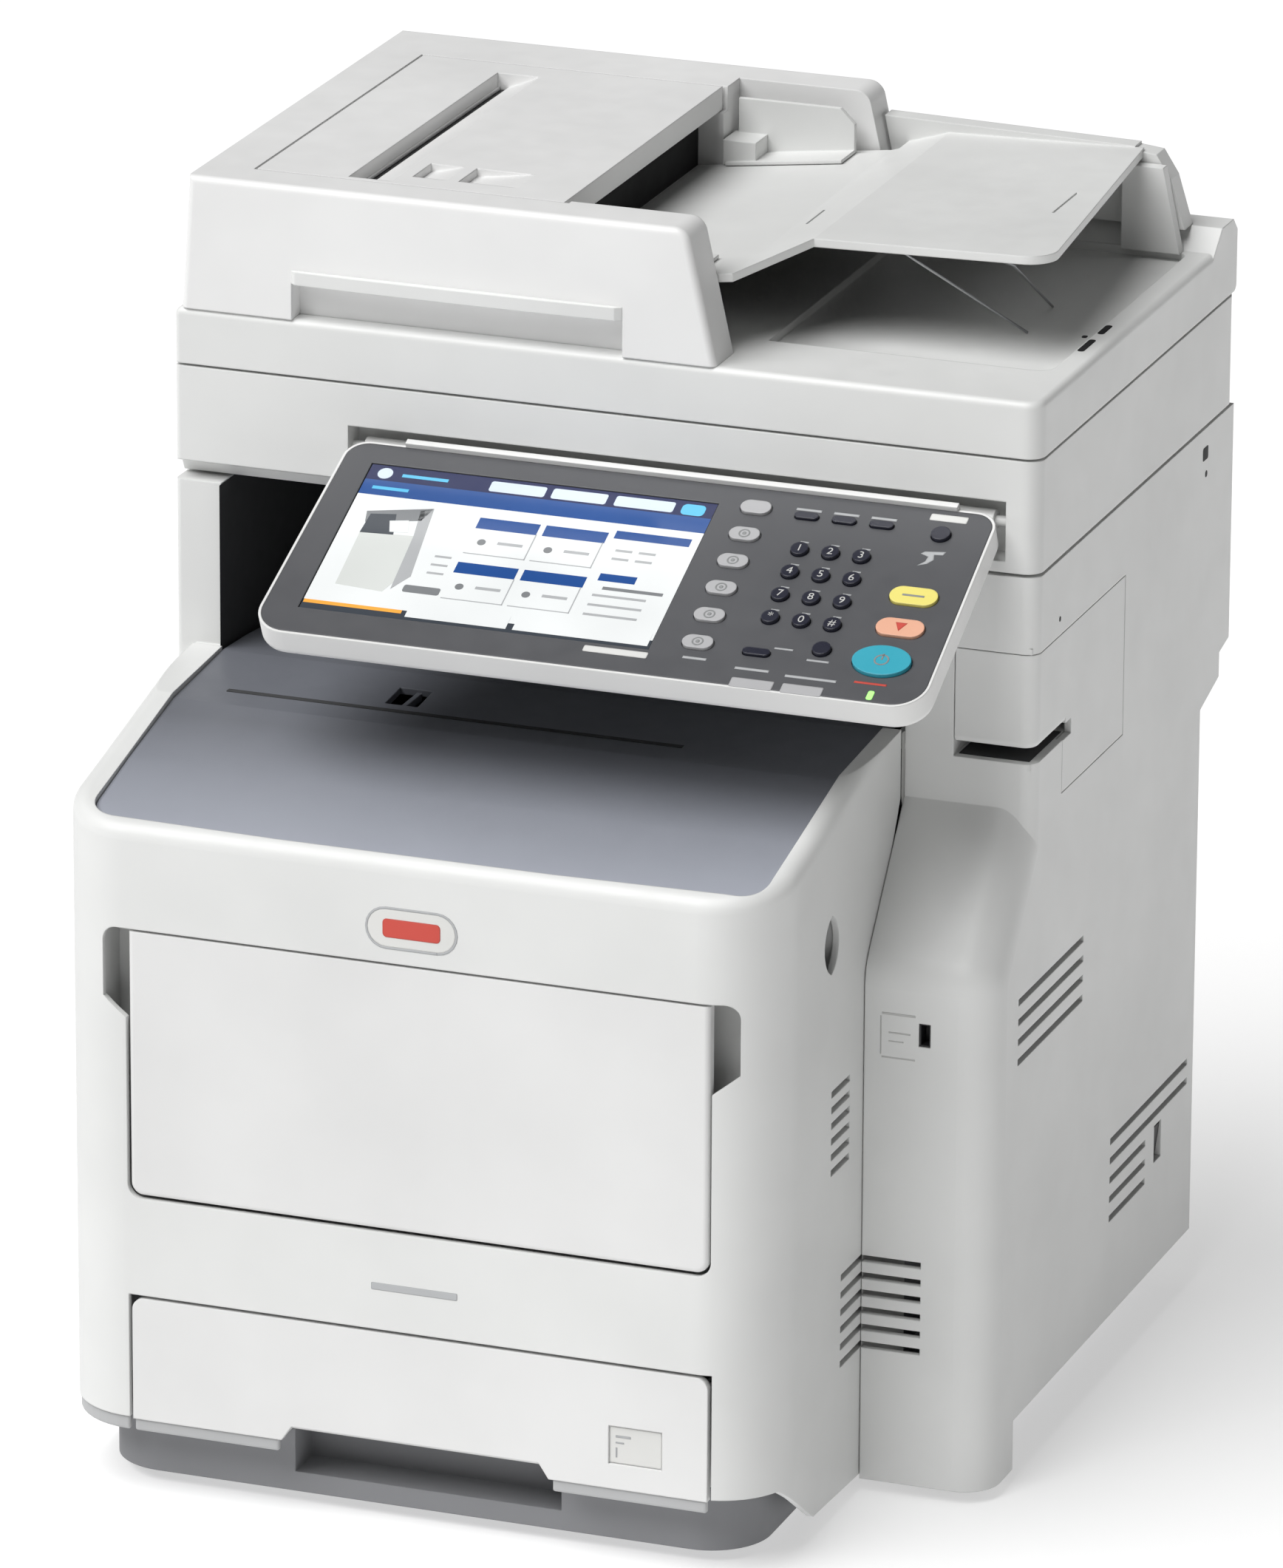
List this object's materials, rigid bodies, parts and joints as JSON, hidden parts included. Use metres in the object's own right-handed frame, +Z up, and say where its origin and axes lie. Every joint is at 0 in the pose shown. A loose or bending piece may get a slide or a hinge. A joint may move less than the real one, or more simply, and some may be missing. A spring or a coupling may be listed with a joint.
{
  "type": "desktop photocopier",
  "caption": "Desktop multifunction photocopier with tilting operator panel, document feeder lid, bypass door, pull-out paper cassette and stapler bay.",
  "frame": {"origin": "on the resting plane, below the centre of the overall box", "axes": "+Z up, front of the machine towards -Y, +X to its right seen from the front"},
  "size_m": [0.522, 0.578, 0.719],
  "materials": {
    "casing": "satin",
    "door_white": "satin",
    "tray_grey": "satin",
    "pan_grey": "matte",
    "dark_plastic": "matte",
    "steel_sheet": "brushed",
    "steel_shaft": "brushed",
    "rubber": "matte",
    "platen_glass": "clear",
    "pad_white": "matte",
    "panel_white": "satin",
    "panel_grey": "satin",
    "screen": "gloss",
    "key_light": "satin",
    "key_dark": "satin",
    "key_yellow": "satin",
    "key_orange": "satin",
    "key_cyan": "satin"
  },
  "bodies": {
    "engine": {"base_frame": "pan_grey", "feet": "rubber", "inner_frame": "steel_sheet", "left_cover": "casing", "right_cover": "casing", "rear_cover": "casing", "connectors": "dark_plastic", "imaging_unit": "dark_plastic", "fuser_unit": "dark_plastic"},
    "front_door": {"front_cover": "casing"},
    "bypass": {"bypass_door": "door_white"},
    "cassette": {"paper_cassette": "door_white"},
    "paper_lift": {"lift_plate": "steel_shaft"},
    "top_tray": {"output_tray": "tray_grey"},
    "scanner": {"scanner_housing": "casing", "platen_glass": "platen_glass"},
    "lid": {"platen_lid": "casing", "backing_pad": "pad_white", "feeder_body": "casing", "document_tray": "casing"},
    "feeder_door": {"feeder_cover": "door_white"},
    "guide_rear": {"rear_guide": "casing"},
    "guide_front": {"front_guide": "casing"},
    "panel": {"panel_housing": "panel_white", "panel_face": "panel_grey", "touch_screen": "screen"},
    "stapler_door": {"stapler_cover": "casing"},
    "carriage": {"scan_carriage": "dark_plastic"},
    "pickup": {"feed_roller": "rubber"},
    "exit": {"exit_roller": "rubber"},
    "feeder_release": {"release_lever": "dark_plastic"},
    "door_latch": {"cover_lever": "key_light"},
    "switch": {"power_switch": "dark_plastic"},
    "function_1_button": {"function_key_1": "key_light"},
    "function_2_button": {"function_key_2": "key_light"},
    "function_3_button": {"function_key_3": "key_light"},
    "function_4_button": {"function_key_4": "key_light"},
    "function_5_button": {"function_key_5": "key_light"},
    "function_6_button": {"function_key_6": "key_light"},
    "mode_1_button": {"mode_key_1": "key_dark"},
    "mode_2_button": {"mode_key_2": "key_dark"},
    "mode_3_button": {"mode_key_3": "key_dark"},
    "digit_1_button": {"digit_key_1": "key_dark"},
    "digit_2_button": {"digit_key_2": "key_dark"},
    "digit_3_button": {"digit_key_3": "key_dark"},
    "digit_4_button": {"digit_key_4": "key_dark"},
    "digit_5_button": {"digit_key_5": "key_dark"},
    "digit_6_button": {"digit_key_6": "key_dark"},
    "digit_7_button": {"digit_key_7": "key_dark"},
    "digit_8_button": {"digit_key_8": "key_dark"},
    "digit_9_button": {"digit_key_9": "key_dark"},
    "digit_star_button": {"digit_key_star": "key_dark"},
    "digit_0_button": {"digit_key_0": "key_dark"},
    "digit_hash_button": {"digit_key_hash": "key_dark"},
    "job_button": {"job_key": "key_dark"},
    "clear_button": {"clear_key": "key_dark"},
    "energy_button": {"energy_key": "key_dark"},
    "reset_button": {"reset_key": "key_yellow"},
    "stop_button": {"stop_key": "key_orange"},
    "start_button": {"start_key": "key_cyan"}
  },
  "joints": [
    {"name": "front_cover_hinge", "type": "hinge", "parent": "engine", "child": "front_door", "pos_m": [-0.03, -0.283, 0.06], "axis": [1, 0, 0], "range_deg": [0, 80]},
    {"name": "bypass_door_hinge", "type": "hinge", "parent": "front_door", "child": "bypass", "pos_m": [-0.0275, -0.286, 0.187], "axis": [-1, 0, 0], "range_deg": [-85, 0]},
    {"name": "cassette_slide", "type": "slide", "parent": "engine", "child": "cassette", "axis": [0, 1, 0], "range_m": [-0.3, 0]},
    {"name": "lift_plate_hinge", "type": "hinge", "parent": "cassette", "child": "paper_lift", "pos_m": [-0.027, 0.087, 0.053], "axis": [-1, 0, 0], "range_deg": [0, 8]},
    {"name": "output_tray_hinge", "type": "hinge", "parent": "engine", "child": "top_tray", "pos_m": [-0.03, 0.093, 0.418], "axis": [-1, 0, 0], "range_deg": [0, 10]},
    {"name": "scanner_hinge", "type": "hinge", "parent": "engine", "child": "scanner", "pos_m": [0, 0.285, 0.541], "axis": [-1, 0, 0], "range_deg": [0, 15]},
    {"name": "lid_hinge", "type": "hinge", "parent": "scanner", "child": "lid", "pos_m": [0, 0.2845, 0.6115], "axis": [-1, 0, 0], "range_deg": [0, 70]},
    {"name": "feeder_cover_hinge", "type": "hinge", "parent": "lid", "child": "feeder_door", "pos_m": [-0.2175, 0.086, 0.716], "axis": [0, -1, 0], "range_deg": [0, 75]},
    {"name": "panel_hinge", "type": "hinge", "parent": "scanner", "child": "panel", "pos_m": [0.04, -0.06239, 0.56689], "axis": [-1, 0, 0], "range_deg": [0, 20]},
    {"name": "stapler_cover_hinge", "type": "hinge", "parent": "engine", "child": "stapler_door", "pos_m": [0.259, 0.086, 0.46], "axis": [0, 0, 1], "range_deg": [0, 80]},
    {"name": "scan_carriage_slide", "type": "slide", "parent": "scanner", "child": "carriage", "axis": [1, 0, 0], "range_m": [0, 0.36]},
    {"name": "rear_guide_slide", "type": "slide", "parent": "lid", "child": "guide_rear", "axis": [0, -1, 0], "range_m": [0, 0.075]},
    {"name": "front_guide_slide", "type": "slide", "parent": "lid", "child": "guide_front", "axis": [0, 1, 0], "range_m": [0, 0.075]},
    {"name": "feed_roller_spin", "type": "hinge", "parent": "lid", "child": "pickup", "pos_m": [-0.06, 0.085, 0.688], "axis": [0, 1, 0], "continuous": true},
    {"name": "exit_roller_spin", "type": "hinge", "parent": "engine", "child": "exit", "pos_m": [-0.0275, 0.124, 0.466], "axis": [1, 0, 0], "continuous": true},
    {"name": "release_lever_hinge", "type": "hinge", "parent": "feeder_door", "child": "feeder_release", "pos_m": [-0.162, 0.078, 0.699], "axis": [0, 1, 0], "range_deg": [0, 5], "stiffness_Nm_per_rad": 0.05, "springref_deg": -2.86},
    {"name": "cover_lever_hinge", "type": "hinge", "parent": "front_door", "child": "door_latch", "pos_m": [0.1715, -0.194, 0.35], "axis": [0, 0, 1], "range_deg": [0, 18], "stiffness_Nm_per_rad": 0.01, "springref_deg": -5.73},
    {"name": "power_switch_hinge", "type": "hinge", "parent": "engine", "child": "switch", "pos_m": [0.253, 0.17, 0.117], "axis": [0, -1, 0], "range_deg": [0, 8]},
    {"name": "function_key_1_press", "type": "slide", "parent": "panel", "child": "function_1_button", "axis": [0, 0.4147, -0.91], "range_m": [0, 0.001], "stiffness_N_per_m": 300, "springref_m": -0.0005},
    {"name": "function_key_2_press", "type": "slide", "parent": "panel", "child": "function_2_button", "axis": [0, 0.4147, -0.91], "range_m": [0, 0.001], "stiffness_N_per_m": 300, "springref_m": -0.0005},
    {"name": "function_key_3_press", "type": "slide", "parent": "panel", "child": "function_3_button", "axis": [0, 0.4147, -0.91], "range_m": [0, 0.001], "stiffness_N_per_m": 300, "springref_m": -0.0005},
    {"name": "function_key_4_press", "type": "slide", "parent": "panel", "child": "function_4_button", "axis": [0, 0.4147, -0.91], "range_m": [0, 0.001], "stiffness_N_per_m": 300, "springref_m": -0.0005},
    {"name": "function_key_5_press", "type": "slide", "parent": "panel", "child": "function_5_button", "axis": [0, 0.4147, -0.91], "range_m": [0, 0.001], "stiffness_N_per_m": 300, "springref_m": -0.0005},
    {"name": "function_key_6_press", "type": "slide", "parent": "panel", "child": "function_6_button", "axis": [0, 0.4147, -0.91], "range_m": [0, 0.001], "stiffness_N_per_m": 300, "springref_m": -0.0005},
    {"name": "mode_key_1_press", "type": "slide", "parent": "panel", "child": "mode_1_button", "axis": [0, 0.4147, -0.91], "range_m": [0, 0.001], "stiffness_N_per_m": 300, "springref_m": -0.0005},
    {"name": "mode_key_2_press", "type": "slide", "parent": "panel", "child": "mode_2_button", "axis": [0, 0.4147, -0.91], "range_m": [0, 0.001], "stiffness_N_per_m": 300, "springref_m": -0.0005},
    {"name": "mode_key_3_press", "type": "slide", "parent": "panel", "child": "mode_3_button", "axis": [0, 0.4147, -0.91], "range_m": [0, 0.001], "stiffness_N_per_m": 300, "springref_m": -0.0005},
    {"name": "digit_key_1_press", "type": "slide", "parent": "panel", "child": "digit_1_button", "axis": [0, 0.4147, -0.91], "range_m": [0, 0.001], "stiffness_N_per_m": 300, "springref_m": -0.0005},
    {"name": "digit_key_2_press", "type": "slide", "parent": "panel", "child": "digit_2_button", "axis": [0, 0.4147, -0.91], "range_m": [0, 0.001], "stiffness_N_per_m": 300, "springref_m": -0.0005},
    {"name": "digit_key_3_press", "type": "slide", "parent": "panel", "child": "digit_3_button", "axis": [0, 0.4147, -0.91], "range_m": [0, 0.001], "stiffness_N_per_m": 300, "springref_m": -0.0005},
    {"name": "digit_key_4_press", "type": "slide", "parent": "panel", "child": "digit_4_button", "axis": [0, 0.4147, -0.91], "range_m": [0, 0.001], "stiffness_N_per_m": 300, "springref_m": -0.0005},
    {"name": "digit_key_5_press", "type": "slide", "parent": "panel", "child": "digit_5_button", "axis": [0, 0.4147, -0.91], "range_m": [0, 0.001], "stiffness_N_per_m": 300, "springref_m": -0.0005},
    {"name": "digit_key_6_press", "type": "slide", "parent": "panel", "child": "digit_6_button", "axis": [0, 0.4147, -0.91], "range_m": [0, 0.001], "stiffness_N_per_m": 300, "springref_m": -0.0005},
    {"name": "digit_key_7_press", "type": "slide", "parent": "panel", "child": "digit_7_button", "axis": [0, 0.4147, -0.91], "range_m": [0, 0.001], "stiffness_N_per_m": 300, "springref_m": -0.0005},
    {"name": "digit_key_8_press", "type": "slide", "parent": "panel", "child": "digit_8_button", "axis": [0, 0.4147, -0.91], "range_m": [0, 0.001], "stiffness_N_per_m": 300, "springref_m": -0.0005},
    {"name": "digit_key_9_press", "type": "slide", "parent": "panel", "child": "digit_9_button", "axis": [0, 0.4147, -0.91], "range_m": [0, 0.001], "stiffness_N_per_m": 300, "springref_m": -0.0005},
    {"name": "digit_key_star_press", "type": "slide", "parent": "panel", "child": "digit_star_button", "axis": [0, 0.4147, -0.91], "range_m": [0, 0.001], "stiffness_N_per_m": 300, "springref_m": -0.0005},
    {"name": "digit_key_0_press", "type": "slide", "parent": "panel", "child": "digit_0_button", "axis": [0, 0.4147, -0.91], "range_m": [0, 0.001], "stiffness_N_per_m": 300, "springref_m": -0.0005},
    {"name": "digit_key_hash_press", "type": "slide", "parent": "panel", "child": "digit_hash_button", "axis": [0, 0.4147, -0.91], "range_m": [0, 0.001], "stiffness_N_per_m": 300, "springref_m": -0.0005},
    {"name": "job_key_press", "type": "slide", "parent": "panel", "child": "job_button", "axis": [0, 0.4147, -0.91], "range_m": [0, 0.001], "stiffness_N_per_m": 300, "springref_m": -0.0005},
    {"name": "clear_key_press", "type": "slide", "parent": "panel", "child": "clear_button", "axis": [0, 0.4147, -0.91], "range_m": [0, 0.001], "stiffness_N_per_m": 300, "springref_m": -0.0005},
    {"name": "energy_key_press", "type": "slide", "parent": "panel", "child": "energy_button", "axis": [0, 0.4147, -0.91], "range_m": [0, 0.001], "stiffness_N_per_m": 300, "springref_m": -0.0005},
    {"name": "reset_key_press", "type": "slide", "parent": "panel", "child": "reset_button", "axis": [0, 0.4147, -0.91], "range_m": [0, 0.001], "stiffness_N_per_m": 300, "springref_m": -0.0005},
    {"name": "stop_key_press", "type": "slide", "parent": "panel", "child": "stop_button", "axis": [0, 0.4147, -0.91], "range_m": [0, 0.001], "stiffness_N_per_m": 300, "springref_m": -0.0005},
    {"name": "start_key_press", "type": "slide", "parent": "panel", "child": "start_button", "axis": [0, 0.4147, -0.91], "range_m": [0, 0.001], "stiffness_N_per_m": 300, "springref_m": -0.0005}
  ],
  "couplings": [
    {"joint": "front_guide_slide", "follows": "rear_guide_slide", "ratio": 1}
  ]
}
